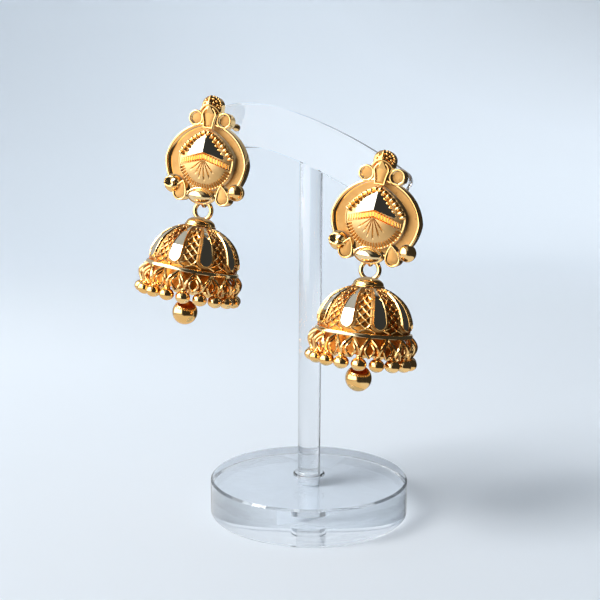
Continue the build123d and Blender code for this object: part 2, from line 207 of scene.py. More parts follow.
class Signal:
    # one output socket; arithmetic on it adds Math nodes
    def __init__(self, finish, socket):
        self.finish, self.socket = finish, socket

    def math(self, operation, first, second):
        node = self.finish.node("ShaderNodeMath", {"operation": operation}, {0: first, 1: second})
        return Signal(self.finish, node.outputs[0])

    def __add__(self, other):
        return self.math("ADD", self, other)

    def __radd__(self, other):
        return self.math("ADD", other, self)

    def __sub__(self, other):
        return self.math("SUBTRACT", self, other)

    def __rsub__(self, other):
        return self.math("SUBTRACT", other, self)

    def __mul__(self, other):
        return self.math("MULTIPLY", self, other)

    def __rmul__(self, other):
        return self.math("MULTIPLY", other, self)

    def atLeast(self, other):
        return self.math("MAXIMUM", self, other)


class Finish:
    # a node tree with a short way to add nodes: their settings first, then values or links for their sockets
    def __init__(self, tree):
        self.tree = tree

    def node(self, kind, settings=None, inputs=None):
        made = self.tree.nodes.new(kind)
        for key, value in (settings or {}).items():
            if key == "stops":
                ramp = made.color_ramp
                while len(ramp.elements) < len(value):
                    ramp.elements.new(0.5)
                for element, (position, colour) in zip(ramp.elements, value):
                    element.position, element.color = position, (*colour, 1)
            else:
                setattr(made, key, value)
        for key, value in (inputs or {}).items():
            if isinstance(value, Signal):
                self.tree.links.new(value.socket, made.inputs[key])
            elif isinstance(value, bpy.types.NodeSocket):
                self.tree.links.new(value, made.inputs[key])
            else:
                made.inputs[key].default_value = value
        return made

    def signal(self, kind, settings=None, inputs=None, output=0):
        return Signal(self, self.node(kind, settings, inputs).outputs[output])

    def between(self, value, low, high):
        # 0 below low, 1 above high, eased between; low above high turns it round
        return self.signal("ShaderNodeMapRange", {"interpolation_type": "SMOOTHSTEP"},
                           {"Value": value, "From Min": low, "From Max": high, "To Min": 0.0, "To Max": 1.0})

    def mixed(self, factor, first, second):
        # two colours mixed by a factor
        made = self.node("ShaderNodeMix", {"data_type": "RGBA"}, {0: factor, 6: first, 7: second})
        return made.outputs[2]


def newMaterial(name, **constants):
    # an empty material with a Principled shader, whose constant sockets are set directly
    material = bpy.data.materials.new(name)
    material.use_nodes = True
    finish = Finish(material.node_tree)
    shader = material.node_tree.nodes["Principled BSDF"]
    for key, value in constants.items():
        shader.inputs[key.replace("_", " ")].default_value = value
    return material, finish, shader


def colour(r, g, b):
    return (r, g, b, 1.0)


# each gold: the two tones it drifts between, its roughness and how far that wanders, the fineness and depth
# of its grain, and how strongly its punched ground is speckled
golds = {
    "polished_gold": dict(light=(1.0, 0.66, 0.28), deep=(0.95, 0.56, 0.19), rough=0.12, spread=0.08,
                          grain=900.0, grainDepth=0.002),
    "mirror_gold": dict(light=(0.93, 0.87, 0.72), deep=(0.88, 0.80, 0.62), rough=0.035, spread=0.02,
                        grain=700.0, grainDepth=0.0004),
    "rim_gold": dict(light=(0.98, 0.76, 0.44), deep=(0.93, 0.68, 0.34), rough=0.10, spread=0.05,
                     grain=800.0, grainDepth=0.001),
    "satin_gold": dict(light=(0.58, 0.33, 0.115), deep=(0.51, 0.27, 0.085), rough=0.52, spread=0.12,
                       grain=2600.0, grainDepth=0.012, speckle=0.7),
    "fan_gold": dict(light=(0.80, 0.51, 0.22), deep=(0.73, 0.44, 0.17), rough=0.34, spread=0.12,
                     grain=2600.0, grainDepth=0.008, speckle=0.3),
    # a darker, redder copy of the gold: painted shade for the recessed ground between raised parts
    "shaded_recess_gold": dict(light=(0.70, 0.28, 0.05), deep=(0.50, 0.16, 0.02), rough=0.38, spread=0.15,
                        grain=2000.0, grainDepth=0.01),
}


def goldFinish(name, light, deep, rough, spread, grain, grainDepth, speckle=0.0):
    # metal whose tone drifts slowly between two golds, with fine grain in its roughness and bump
    material, finish, shader = newMaterial(name, Metallic=1.0)
    where = finish.signal("ShaderNodeTexCoord", output="Object")
    drift = finish.signal("ShaderNodeTexNoise", None, {"Vector": where, "Scale": 260.0, "Detail": 2.0})
    fine = finish.signal("ShaderNodeTexNoise", None, {"Vector": where, "Scale": grain, "Detail": 3.0})
    tone = finish.mixed(finish.between(drift, 0.35, 0.65), colour(*light), colour(*deep))
    if speckle:
        dots = finish.signal("ShaderNodeTexNoise", None, {"Vector": where, "Scale": 1500.0, "Detail": 1.0})
        tone = finish.mixed(finish.between(dots, 0.72, 0.8) * speckle, tone, colour(0.3, 0.13, 0.03))
    finish.tree.links.new(tone, shader.inputs["Base Color"])
    roughness = fine * spread + (rough - spread / 2)
    finish.tree.links.new(roughness.socket, shader.inputs["Roughness"])
    bump = finish.node("ShaderNodeBump", None, {"Height": fine, "Strength": 1.0, "Distance": grainDepth * mm})
    finish.tree.links.new(bump.outputs[0], shader.inputs["Normal"])
    return material


polishedGold, mirrorGold, rimGold, satinGold, fanGold, shadedRecessGold = (
    goldFinish(name, **gold) for name, gold in golds.items())


def acrylicFinish(name, tint):
    # clear cast acrylic, with a breath of unevenness in its gloss
    material, finish, shader = newMaterial(name, IOR=1.49, Transmission_Weight=1.0, Base_Color=tint)
    where = finish.signal("ShaderNodeTexCoord", output="Object")
    haze = finish.signal("ShaderNodeTexNoise", None, {"Vector": where, "Scale": 60.0, "Detail": 2.0})
    finish.tree.links.new((haze * 0.02).socket, shader.inputs["Roughness"])
    # light on its way to the table goes straight through, weakened by about half
    passing = finish.signal("ShaderNodeLightPath", output="Is Shadow Ray") * 0.55
    clear = finish.node("ShaderNodeBsdfTransparent", None, {"Color": colour(0.96, 0.97, 0.985)})
    both = finish.node("ShaderNodeMixShader", None, {0: passing, 1: shader.outputs[0], 2: clear.outputs[0]})
    finish.tree.links.new(both.outputs[0], material.node_tree.nodes["Material Output"].inputs["Surface"])
    return material


clearAcrylic = acrylicFinish("clear_acrylic", colour(1.0, 1.0, 1.0))
# the bar's copy is greyed a little: painted shade that darkens the bar
shadedBarAcrylic = acrylicFinish("shaded_bar_acrylic", colour(0.945, 0.95, 0.955))
for nodeName, finish in (("stand_base", clearAcrylic), ("post_collar", clearAcrylic), ("t_bar", shadedBarAcrylic)):
    materials = frame["nodes"][nodeName].data.materials
    materials.clear()
    materials.append(finish)
print("finishes made, stand dressed")


# the stud's tray, its two scrolls, its two hanging loops and the eye for the drop's ring
traySize = dict(reach=8.65, back=-1.1, floor=-0.5, top=1.1, wire=0.55, neck=(1.3, 7.75), nape=(1.4, 7.05),
                notch=-6.85)
scrollSize = dict(at=(2.95, 7.8), radius=1.55, turn=16.0, wire=0.42, top=1.2, floor=0.3, crown=0.1,
                  middle=0.0)
loopSize = dict(at=(4.45, -6.3), half=1.5, length=4.2, turn=14.0, wire=0.36, top=1.45, floor=1.15, crown=0.12,
                middle=-0.6)
eyeSize = dict(radius=1.05, wire=0.34, ringWire=0.42, play=0.06)
hair = 0.02     # how far a plate stands clear of the walls round it


def trayOutline():
    # an onion: a short neck, one arc down the shoulder to the widest place, one to the flat foot
    reach, notch = traySize["reach"], traySize["notch"]
    foot = (sqrt(reach**2 - notch**2), notch)
    head = [(0, traySize["neck"][1]), traySize["neck"]]
    upper = arcPoints(traySize["nape"], (reach * 0.715, reach * 0.53), (reach, 0), 60)
    lower = arcPoints((reach, 0), (reach * 0.906, -reach * 0.423), foot, 40)
    return evenOutline(np.concatenate([head, upper, lower[1:], [(0, notch)]]), 320)


def scrollOutline():
    # a circle drawn to a soft point at its foot, where it runs into the tray's shoulder
    radius = scrollSize["radius"]
    side = arcPoints((0, radius), (radius * 0.985, radius * 0.17), (radius * 0.62, -radius * 0.78), 30)
    return evenOutline(np.concatenate([side, [(0, -radius * 1.05)]]), 64)


def loopOutline():
    # a teardrop with its point up
    half, length = loopSize["half"], loopSize["length"]
    low = half - length / 2
    side = arcPoints((0, length / 2), (half * 0.6, low + half * 1.05), (half, low), 24)
    foot = arcPoints((half, low), (half * 0.707, low - half * 0.707), (0, low - half), 16)
    return evenOutline(np.concatenate([side, foot[1:]]), 72)


def rimRows(back, top, wire, floor):
    # a raised rim: up the outside, over a half-round top, down to the floor inside
    half = wire / 2
    bends = np.linspace(0, pi, 9)
    over = [(half * cos(bend) - half, top - half * 0.8 * (1 - sin(bend)), 0) for bend in bends]
    inside = [(-wire, floor + 0.1, 0), (-wire - 0.1, floor, 0), (-wire - 0.15, back, 0)]
    return [(-0.12, back, 0), (0, back + 0.12, 0)] + over + inside


def plateRows(wire, back, face, crown=0.0):
    # a closed plate inside a rim, drawn in to its middle, its face a little crowned
    inset = -(wire + hair)
    rows = [(inset, back, 1), (inset, back, 0.5), (inset, back, 0)]
    return rows + [(inset, face + crown * (1 - (1 - share) ** 2), share) for share in np.linspace(0, 1, 9)]


def makeTray(side):
    place, node = studPlace(side), [side + "_stud_tray"]
    outline, size = trayOutline(), traySize
    back = size["back"]
    rims = [skin(bordered(outline, rimRows(back, size["top"], size["wire"], size["floor"])),
                 loopRows=True, loopCols=True)]
    plates = [skin(bordered(outline, plateRows(size["wire"], back + hair, size["floor"])), loopCols=True)]
    for hand in (-1, 1):
        for size, outline in ((loopSize, loopOutline()), (scrollSize, scrollOutline())):
            x, y = size["at"]
            rim = bordered(outline, rimRows(back, size["top"], size["wire"], size["floor"]))
            plate = bordered(outline, plateRows(size["wire"], back + hair, size["floor"], size["crown"]),
                             (0, size["middle"]))
            spot, turn = (hand * x, y), hand * size["turn"]
            rims.append(skin(moved(rim, spot, turn), loopRows=True, loopCols=True))
            plates.append(skin(moved(plate, spot, turn), loopCols=True))
    # the eye: a ring of wire round the drop's own ring, with a little play
    turn, radius = np.linspace(0, 2 * pi, 32, endpoint=False), eyeSize["radius"]
    eyeY = hingeInStud[1] - eyeSize["ringWire"] - eyeSize["play"] + radius - eyeSize["wire"]
    eye = np.stack([0 * turn, eyeY + radius * np.cos(turn), hingeInStud[2] + radius * np.sin(turn)], 1)
    rims.append(tube(eye, eyeSize["wire"], (1, 0, 0), 12, closed=True))
    rim = makePiece(side + "_tray_rims", rims, place, polishedGold, "stand", node)
    ground = makePiece(side + "_tray_floor", plates, place, satinGold, "stand", node)
    rim.visible_glossy = ground.visible_glossy = False


# the crest: an upright petal under a ridged finial with granules
petalSize = dict(half=1.55, low=6.0, high=10.2, rise=0.6, wire=0.35, floor=0.25, crown=0.12, spine=(6.8, 9.0))
finialSize = dict(half=2.1, low=9.4, high=12.3, edge=1.0, front=2.15, arch=10.45,
                  foot=((1.6, 8.3), (1.45, 7.5), (0, 7.5)), ridgeWire=0.23, archWire=0.24, granule=0.25,
                  granules=((0.75, 10.95), (1.45, 10.6), (0.62, 11.65), (1.2, 11.3), (1.75, 10.15),
                            (-0.95, 11.35), (-1.35, 10.75)),
                  border=dict(middle=10.65, wide=1.95, tall=1.5, count=7))


def petalOutline():
    # an upright petal narrowing to its foot, with a pointed head
    half, low, high = petalSize["half"], petalSize["low"], petalSize["high"]
    knee = low + (high - low) * 0.62
    head = arcPoints((0, high), (half * 0.72, knee + (high - knee) * 0.62), (half, knee), 20)
    side = arcPoints((half, knee), (half * 0.76, low + (knee - low) * 0.45), (half * 0.68, low), 20)
    return evenOutline(np.concatenate([head, side[1:], [(0, low)]]), 90)


def finialOutline():
    # a rounded head on a skirt that narrows behind the petal down to the tray's neck
    half, low, high = finialSize["half"], finialSize["low"], finialSize["high"]
    shoulder = low + (high - low) * 0.4
    head = arcPoints((0, high), (half * 0.72, high - (high - shoulder) * 0.3), (half, shoulder), 24)
    return evenOutline(np.concatenate([head, [(half * 0.98, low)], finialSize["foot"]]), 140)


def finialSkins():
    # a wall, a small step, then two slopes that meet on an upright ridge
    size, outline = finialSize, finialOutline()
    half, high, arch = size["half"], size["high"], size["arch"]
    edge, front, back = size["edge"], size["front"], traySize["back"]
    ridge = np.stack([0 * outline[:, 0], np.clip(outline[:, 1], arch + 0.1, high - 0.25)], 1)
    rows = [(-0.3, back, 1), (-0.3, back, 0), (-0.1, back + 0.2, 0), (0, edge - 0.45, 0),
            (-0.02, edge - 0.15, 0), (-0.12, edge, 0)]
    rows += [(-0.12, edge + (front - edge) * share, share) for share in np.linspace(0.1, 1, 6)]
    head = bordered(outline, rows, ridge)
    # granules on the right slope and two on the left, and more round the right slope's outer edge
    x, y = np.array(size["granules"]).T
    onSlope = np.stack([x, y, edge + (front - edge) * (1 - np.abs(x) / 2.0) + 0.04], 1)
    border = size["border"]
    turn = np.linspace(radians(-4), radians(96), border["count"])
    atEdge = np.stack([border["wide"] * np.cos(turn), border["middle"] + border["tall"] * np.sin(turn),
                       edge - 0.02 + 0 * turn], 1)
    grains = balls(np.concatenate([onSlope, atEdge]), size["granule"], 6, 10)
    # a wire down the ridge and one round the arch at its foot
    crown = np.array([(0, arch + 0.05, front - 0.3), (0, arch + 0.5, front), (0, 11.5, front),
                      (0, high - 0.15, front - 0.45)])
    bow = arcPoints((half * 0.93, size["low"] - 0.1), (1.3, 10.05), (0, arch + 0.1), 12)
    bow = np.concatenate([bow, (bow * [-1, 1])[-2::-1]])
    height = edge + 0.2 + (front - edge - 0.15) * np.clip(1 - np.abs(bow[:, :1]) / half, 0, 1)
    return [skin(head, loopCols=True), grains, tube(crown, size["ridgeWire"], (1, 0, 0), 8),
            tube(np.hstack([bow, height]), size["archWire"], (0, 0, 1), 8)]


def makeCrest(side):
    place, node, size = studPlace(side), [side + "_crest"], petalSize
    back = traySize["top"] + 0.05
    petal = petalOutline()
    rim = bordered(petal, rimRows(back, back + size["rise"], size["wire"], back + size["floor"]))
    spine = np.stack([0 * petal[:, 0], np.clip(petal[:, 1], *size["spine"])], 1)
    plate = bordered(petal, plateRows(size["wire"], back, back + size["floor"], size["crown"]), spine)
    metal = [skin(rim, loopRows=True, loopCols=True)] + finialSkins()
    makePiece(side + "_crest_frame", metal, place, polishedGold, "stand", node)
    plate = [skin(plate, loopCols=True)]
    makePiece(side + "_crest_petal", plate, place, satinGold, "stand", node)


# the medallion: a fan below a milled chevron, polished roof facets above it under two rows of beads
medallionSize = dict(reach=5.9, foot=-0.5, edge=0.7, crown=1.05, shoulder=(5.76, 1.3), arch=(3.35, 4.05),
                     apex=(0.0, 6.0), lip=0.12, notches=58, notchDepth=0.38, fanFrom=(-0.1, 0.15),
                     fanDepth=0.3, fan=((-49, 3.7), (-28, 3.5), (-12, 4.0), (5, 4.3), (24, 4.0), (42, 3.4)))
chevronSize = dict(peak=0.72, wide=5.35, low=-0.85, band=1.45, ribs=10, ribHeight=0.34)
roofSize = dict(tip=(5.05, 0.15, 0.75), junction=(0.0, 1.5, 2.75), brow=(0.22, 3.75, 2.75),
                top=(0.3, 4.85, 2.0), bow=(2.75, 3.05))
# the knurls' bowed line, count, size, lift and climb, and the radius of the painted-shade tube under them
knurlSize = dict(line=((5.25, 0.85), (2.85, 3.55), (0.38, 5.15)), count=8, knurl=(0.36, 0.66, 0.48), lift=0.3,
                 climb=0.5, shadeRadius=0.4)


def domeHeight(x, y):
    # a low spherical crown over the medallion's face
    size = medallionSize
    radius = np.sqrt(x**2 + y**2) / (size["reach"] - 0.3)
    return size["edge"] + size["crown"] * (1 - np.minimum(radius, 1) ** 2)


def chevronY(x, shift=0.0):
    # the height up the face of the bent band's middle line
    peak, wide, low = chevronSize["peak"], chevronSize["wide"], chevronSize["low"]
    return peak + (low - peak) * np.abs(x) / wide + shift


def medallionOutline():
    # a pointed arch above the shoulders, the lower part of a circle below them
    size = medallionSize
    reach, (x, y) = size["reach"], size["shoulder"]
    upper = arcPoints(size["apex"], size["arch"], (x, y), 60)
    lower = arcPoints((x, y), (reach * 0.94, -reach * 0.34), (0, -reach), 120)
    return evenOutline(np.concatenate([upper, lower[1:]]), 480)


def fanGrooves(x, y):
    # how deep the fan is cut: along each ray a groove that widens outwards and fades at both ends
    size = medallionSize
    fromX, fromY = x - size["fanFrom"][0], y - size["fanFrom"][1]
    far = np.hypot(fromX, fromY)
    bearing = np.degrees(np.arctan2(fromX, -fromY))
    groove = 0 * far
    for angle, length in size["fan"]:
        off = np.abs(bearing - angle) * np.pi / 180 * far
        ends = np.clip((length - far) / 1.2, 0, 1) * np.clip(far, 0, 1)
        groove = np.maximum(groove, size["fanDepth"] * np.clip(1 - off / (0.06 + 0.035 * far), 0, 1) * ends)
    return groove


def makeMedallionDome(side, place, node):
    # the outline shrunk to the middle in steps, crowned, with the fan's grooves below the chevron,
    # notches milled along its lower edge and a fine lip all round
    size, outline = medallionSize, medallionOutline()
    inner = outline * (1 - 0.2 / np.linalg.norm(outline, axis=1, keepdims=True))
    share = np.linspace(1, 0, 64)[:, None] ** 0.85
    x, y = share * inner[None, :, 0], share * inner[None, :, 1]
    height = domeHeight(x, y)
    below = np.clip((chevronY(x, -chevronSize["band"] / 2) - y) / 0.15, 0, 1)
    rimGap = (1 - share) * np.linalg.norm(inner, axis=1)[None]
    milled = np.clip(rimGap / 0.1, 0, 1) * np.clip((1.15 - rimGap) / 0.3, 0, 1)
    notch = size["notchDepth"] * milled * (0.5 - 0.5 * np.cos(np.arctan2(y, x) * size["notches"])) ** 1.6
    lip = size["lip"] * np.clip(1 - rimGap / 0.22, 0, 1)
    face = np.stack([x, y, height + lip - below * np.maximum(fanGrooves(x, y), notch)], -1)
    edge = height[0] + lip[0]
    foot = 0 * edge + size["foot"]
    wall = np.stack([np.column_stack([outline * grow, tall])
                     for grow, tall in ((0.0, foot), (1.0, foot), (1.0, edge - 0.14), (0.99, edge - 0.04))])
    makePiece(side + "_medallion_dome", [skin(np.concatenate([wall, face]), loopCols=True)],
              place, fanGold, "stand", node, crease=60)


def facetPoint(a, b, c, x, y):
    # the point above a spot on the flat facet through three others
    slope = np.linalg.solve(np.column_stack([np.stack([a, b, c])[:, :2], np.ones(3)]), [a[2], b[2], c[2]])
    return np.array([x, y, slope @ [x, y, 1.0]])


def makeMedallionRoof(side, place, node):
    # flat facets from an upright ridge down to the two tips, each bowed along the beads,
    # the right one folded along its upper side, and a wall down into the face
    tip, junction, brow, top = (np.array(roofSize[key]) for key in ("tip", "junction", "brow", "top"))
    left = tip * [-1, 1, 1]
    bowX, bowY = roofSize["bow"]
    leftTop = facetPoint(left, junction, brow, top[0], top[1])
    leftBow = facetPoint(left, junction, brow, -bowX, bowY)
    rightBow = facetPoint(brow, tip, top, bowX, bowY)
    facets = [skin(np.stack([a, b, a, c]).reshape(2, 2, 3)) for a, b, c in (
        (left, junction, brow), (left, brow, leftTop), (left, leftTop, leftBow),
        (junction, tip, brow), (brow, tip, rightBow), (brow, rightBow, top), (brow, top, leftTop))]
    ring = np.stack([left, junction, tip, rightBow, top, leftTop, leftBow])
    facets.append(skin(np.stack([ring * [1, 1, 0], ring]), loopCols=True))
    makePiece(side + "_medallion_facets", facets, place, mirrorGold, "stand", node, crease=10)


def makeMedallionChevron(side, place, node):
    # two bars with milled ribs between raised edges, a section carried along each arm
    size, bars = chevronSize, []
    along = np.linspace(0, 1, 240)[None, :]
    section = np.linspace(-1, 1, 17)[:, None]
    ribs = np.abs(np.sin(along * size["ribs"] * pi)) ** 1.5 * np.clip((0.78 - np.abs(section)) * 6, 0, 1)
    relief = np.where(np.abs(section) > 0.8, 0.14, size["ribHeight"] * ribs - 0.24)
    lift = np.where(np.abs(section) > 0.97, -0.7, relief)
    half = size["band"] / 2 * (1.06 - 0.14 * along)
    for hand in (-1, 1):
        midX = hand * size["wide"] * along
        midY = chevronY(midX)
        base = domeHeight(midX, midY) + 0.3 * np.clip(1.15 - along, 0.15, 1)
        grid = np.stack(np.broadcast_arrays(midX, midY + section * half, base + lift), -1)
        bars.append(skin(grid, flip=hand > 0))
        bars.append(skin(grid[[0, -1]], flip=hand < 0))
    makePiece(side + "_medallion_chevron", bars, place, polishedGold, "stand", node)


def makeMedallionBeads(side, place, node):
    # knurls strung side by side along two bowed lines that meet under the petal, over a strip of darker gold
    # that paints the shade between and under them
    size, beads, axes = knurlSize, [], []
    for hand in (-1, 1):
        line = arcPoints(*(np.array(spot) * [hand, 1] for spot in size["line"]), size["count"])
        climb = size["lift"] + size["climb"] * np.linspace(0, 1, size["count"])
        heights = domeHeight(line[:, 0], line[:, 1]) + climb
        beads.append(np.column_stack([line, heights]))
        along = unit(np.gradient(beads[-1] * [1, 1, 0], axis=0))
        outward = np.stack([along[:, 1], -along[:, 0], 0 * heights], 1)
        axes.append(np.stack([along, outward, np.cross(along, outward)], 1))
    grains = balls(np.concatenate(beads), size["knurl"], 10, 14, np.concatenate(axes))
    # painted shade: a tube of the darker gold under each row of knurls darkens the gaps between them
    beadShadeStrips = [tube(row - [0, 0, size["lift"]], size["shadeRadius"], (0, 0, 1), 8) for row in beads]
    makePiece(side + "_medallion_beads", [grains], place, polishedGold, "stand", node)
    makePiece(side + "_medallion_seams", beadShadeStrips, place, shadedRecessGold, "stand", node)


def makeMedallion(side):
    place, node = studPlace(side), [side + "_medallion"]
    for make in (makeMedallionDome, makeMedallionRoof, makeMedallionChevron, makeMedallionBeads):
        make(side, place, node)


# the cabochon in its bezel, whose foot stays above the drop's ring
cabochonSize = dict(middle=-6.95, half=(2.95, 1.68), foot=0.3, seat=1.15, bezel=0.5, bezelWall=0.32,
                    crown=1.45)


def makeCabochon(side):
    # a marquise: an ellipse with drawn ends; a rolled bezel round it, and inside a crown whose height
    # is that of a quarter ellipse from its edge to its middle
    place, node, size = studPlace(side), [side + "_cabochon"], cabochonSize
    turn = np.linspace(0, 2 * pi, 120, endpoint=False)
    drawn = np.abs(np.sin(turn)) ** 0.22
    outline = np.stack([size["half"][0] * np.cos(turn), size["half"][1] * np.sin(turn) * drawn], 1)
    foot, high = size["foot"], size["seat"] + size["bezel"]
    rows = [(0.0, foot, 1), (0.0, foot, 0), (0.0, high - 0.2, 0), (-0.06, high - 0.05, 0), (-0.16, high, 0),
            (-0.25, high - 0.06, 0), (-size["bezelWall"], high - 0.25, 0)]
    setting = bordered(outline, rows)
    shares = (np.linspace(0, 1, 24)[1:] ** 1.5)[:, None, None]
    flat = setting[-1:, :, :2] * (1 - shares)
    domed = high - 0.25 + size["crown"] * np.sqrt(1 - (1 - shares) ** 2)
    crown = np.concatenate([flat, np.broadcast_to(domed, flat.shape[:2] + (1,))], -1)
    crown = np.concatenate([setting[-1:], crown])
    setting, crown = (moved(grid, (0, size["middle"])) for grid in (setting, crown))
    bezel = makePiece(side + "_cabochon_bezel", [skin(setting, loopCols=True)], place, polishedGold,
                      "stand", node)
    stone = makePiece(side + "_cabochon_stone", [skin(crown, loopCols=True)], place, rimGold,
                      "stand", node)
    bezel.visible_glossy = stone.visible_glossy = False


# the corner balls: a hollow cup on the left, a plain ball on the right
cornerSize = dict(ball=(7.0, -5.4, 0.5), radius=1.65, cup=(-6.5, -5.3, 0.5), cupRadius=1.85,
                  almond=(1.72, 1.0), lip=0.1, depth=1.0, tilt=12.0)


def makeCorners(side):
    place, size, node = studPlace(side), cornerSize, [side + "_corner_cup"]
    ball = balls(size["ball"], size["radius"], 24, 40)
    makePiece(side + "_corner_ball_shell", [ball], place, polishedGold,
              "stand", [side + "_corner_ball"])
    # the cup: from the back of a ball along great circles to an almond edge, over a lip, then down a dish
    radius, tilt = size["cupRadius"], radians(size["tilt"])
    turn = np.linspace(0, 2 * pi, 64, endpoint=False)
    faceX = size["almond"][0] * np.cos(turn)
    faceY = size["almond"][1] * np.sin(turn) * np.abs(np.sin(turn)) ** 0.3
    edge = np.stack([faceX, faceY, np.sqrt(radius**2 - faceX**2 - faceY**2)], 1)
    angle = np.arccos(np.clip(edge[:, 2] / radius, -1, 1))[None, :, None]
    sideways = unit(np.stack([edge[:, 0], edge[:, 1], 0 * turn], 1))[None]
    polar = pi + (angle - pi) * np.linspace(0, 1, 22)[:, None, None]
    shell = radius * (np.sin(polar) * sideways + np.cos(polar) * np.array([0, 0, 1.0]))
    lipRing = edge * (1 + size["lip"] / radius)
    inner = lipRing * [0.88, 0.82, 1]
    sunk = np.stack([inner * [1 - share, 1 - share, 1] - [0, 0, 0.12 + size["depth"] * (1 - (1 - share) ** 2)]
                     for share in np.linspace(0, 1, 12)])
    turned = np.array([[1, 0, 0], [0, cos(tilt), -sin(tilt)], [0, sin(tilt), cos(tilt)]])
    rolled = np.stack([lipRing, inner + [0, 0, 0.02]])
    cup = np.concatenate([shell, rolled, sunk[:1]]) @ turned + size["cup"]
    dish = sunk @ turned + size["cup"]
    makePiece(side + "_corner_cup_shell", [skin(cup, loopCols=True)], place, polishedGold,
              "stand", node, crease=50)
    makePiece(side + "_corner_cup_dish", [skin(dish, loopCols=True)], place, mirrorGold,
              "stand", node)


# the ear post behind the stud: its height, its gap to the tray, and its radius at each depth
postSize = dict(high=7.3, gap=0.05,
                depths=(0, 3, 6, 9.5, 10.2, 10.4, 10.8, 11.0, 11.6, 12.2, 12.7, 13.05, 13.2),
                radii=(0.45, 0.45, 0.45, 0.45, 0.45, 0.36, 0.36, 0.45, 0.62, 0.78, 0.72, 0.42, 0.1))


def makeEarPost(side):
    # a straight wire with a groove before its rounded end
    depth = np.array(postSize["depths"])
    path = np.stack([0 * depth, postSize["high"] + 0 * depth, traySize["back"] - postSize["gap"] - depth], 1)
    makePiece(side + "_ear_post_wire", [tube(path, postSize["radii"], (0, 1, 0), 24)], studPlace(side),
              polishedGold, "stand", [side + "_ear_post"])


# the drop's cap and hanging ring
capSize = dict(ringRadius=1.75, ringWire=0.45, radius=3.1, base=-4.95, top=-3.0, lip=0.45, step=0.2)


def makeCap(side):
    # a quarter ellipse turned above a rounded lip, and a ring of wire whose top is the hinge
    size = capSize
    base, reach, ringRadius = size["base"], size["radius"], size["ringRadius"]
    bend = np.linspace(0, 1, 16) * pi / 2
    dome = np.stack([(reach - size["step"]) * np.cos(bend),
                     base + size["lip"] + (size["top"] - base - size["lip"]) * np.sin(bend)], 1)
    lip = [(0.001, base), (reach - 0.1, base), (reach, base + 0.1), (reach, base + 0.28),
           (reach - 0.06, base + 0.36), (reach - 0.15, base + 0.39), (reach - 0.19, base + 0.42)]
    turn = np.linspace(0, 2 * pi, 64, endpoint=False)
    ring = np.stack([ringRadius * np.cos(turn), 0 * turn, -ringRadius + ringRadius * np.sin(turn)], 1)
    skins = [revolve(np.concatenate([lip, dome])), tube(ring, size["ringWire"], (0, 1, 0), 16, closed=True)]
    cap = makePiece(side + "_cap_and_ring", skins, dropPlace(side), polishedGold,
                    bodies[side], [side + "_bell_cap"])
    cap.visible_glossy = False     # the panels' heads mirror the room past it


# the bell: a domed wall with nine raised mirror panels, wire lattice between them, and a polished rim
bellSize = dict(radius=8.8, foot=-12.75, top=-5.0, topRadius=3.0, ground=-0.35, inside=-0.95)
rimSize = dict(radius=9.25, foot=-13.65, inner=7.95)
panelSize = dict(count=9, low=-12.15, belly=-10.7, high=-5.0, half=1.32, head=0.2, lift=0.3, frame=0.2,
                 strip=0.42, root=-0.9)
latticeSize = dict(strands=3, period=4.4, margin=0.5, wire=0.17, grain=0.2)
bellRise, bellIn = bellSize["top"] - bellSize["foot"], bellSize["radius"] - bellSize["topRadius"]
bellArc = (bellRise**2 + bellIn**2) / (2 * bellIn)
panelBearings = np.arange(panelSize["count"]) * 2 * pi / panelSize["count"]


def bellPlace(side):
    # the drop's place, spun until its first panel faces where it should
    axes, origin = dropPlace(side)
    turn = radians(earringTurns[side]["panels"] - 90)
    spin = np.array([[cos(turn), -sin(turn), 0], [sin(turn), cos(turn), 0], [0, 0, 1]])
    return axes @ spin, origin


def domePoint(z, lift):
    # radius and height of the bell's arc above a nominal height, lifted square to the arc
    rise = np.arcsin(np.clip((z - bellSize["foot"]) / bellArc, -1, 1))
    reach = bellArc + lift
    return bellSize["radius"] - bellArc + reach * np.cos(rise), bellSize["foot"] + reach * np.sin(rise)


def bellSpots(bearing, across, z, lift):
    # a point of the bell: its bearing about the axis, a step across a flat plate there, its height and lift
    radius, height = domePoint(z, lift)
    return np.stack(np.broadcast_arrays(radius * np.cos(bearing) - across * np.sin(bearing),
                                        radius * np.sin(bearing) + across * np.cos(bearing), height), -1)


def panelOutline():
    # a lancet: round foot, swelling sides, narrow head, as steps across and heights
    half, low, belly, high, head = (panelSize[key] for key in ("half", "low", "belly", "high", "head"))
    side = arcPoints((head, high), (half * 0.76, belly + (high - belly) * 0.48), (half, belly), 30)
    foot = arcPoints((half, belly), (half * 0.75, low + (belly - low) * 0.3), (0, low), 16)
    return evenOutline(np.concatenate([[(0, high)], side, foot[1:]]), 96)


def gapHalf(z):
    # half the angle between neighbouring panels at a height, less a margin
    half, low, belly, high, head = (panelSize[key] for key in ("half", "low", "belly", "high", "head"))
    upper = head + (half - head) * np.sqrt(np.clip((high - z) / (high - belly), 0, 1)) ** 1.35
    lower = half * np.sqrt(np.clip(1 - ((belly - z) / (belly - low)) ** 2, 0, 1))
    panel = np.where(z > belly, upper, lower)
    return pi / panelSize["count"] - (panel + latticeSize["margin"]) / domePoint(z, 0.0)[0]


